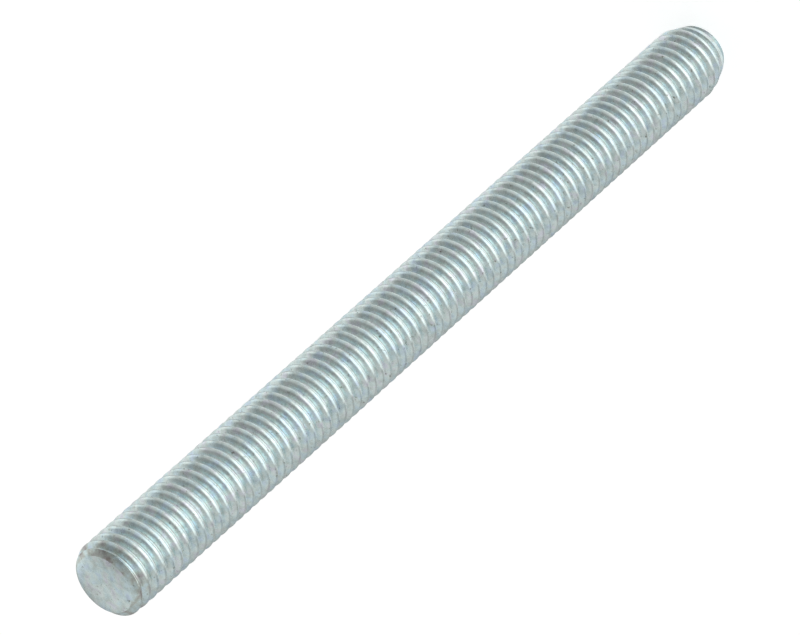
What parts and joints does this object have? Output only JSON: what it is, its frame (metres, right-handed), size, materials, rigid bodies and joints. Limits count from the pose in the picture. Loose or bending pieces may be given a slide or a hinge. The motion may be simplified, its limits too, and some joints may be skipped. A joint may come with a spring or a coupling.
{
  "type": "threaded rod",
  "caption": "Straight metal rod threaded over its whole length, with a flat chamfered end and a tapered end.",
  "frame": {"origin": "centre of the small flat at the tapered end, on the rod's axis", "axes": "+Z along the rod's axis, from the tapered end up to the flat chamfered end"},
  "size_m": [0.0078, 0.0078, 0.1015],
  "materials": {
    "zinc_plated_steel": "bright zinc plating, satin, with faint tints"
  },
  "bodies": {
    "root": {"threaded_rod": "zinc_plated_steel"}
  },
  "joints": []
}
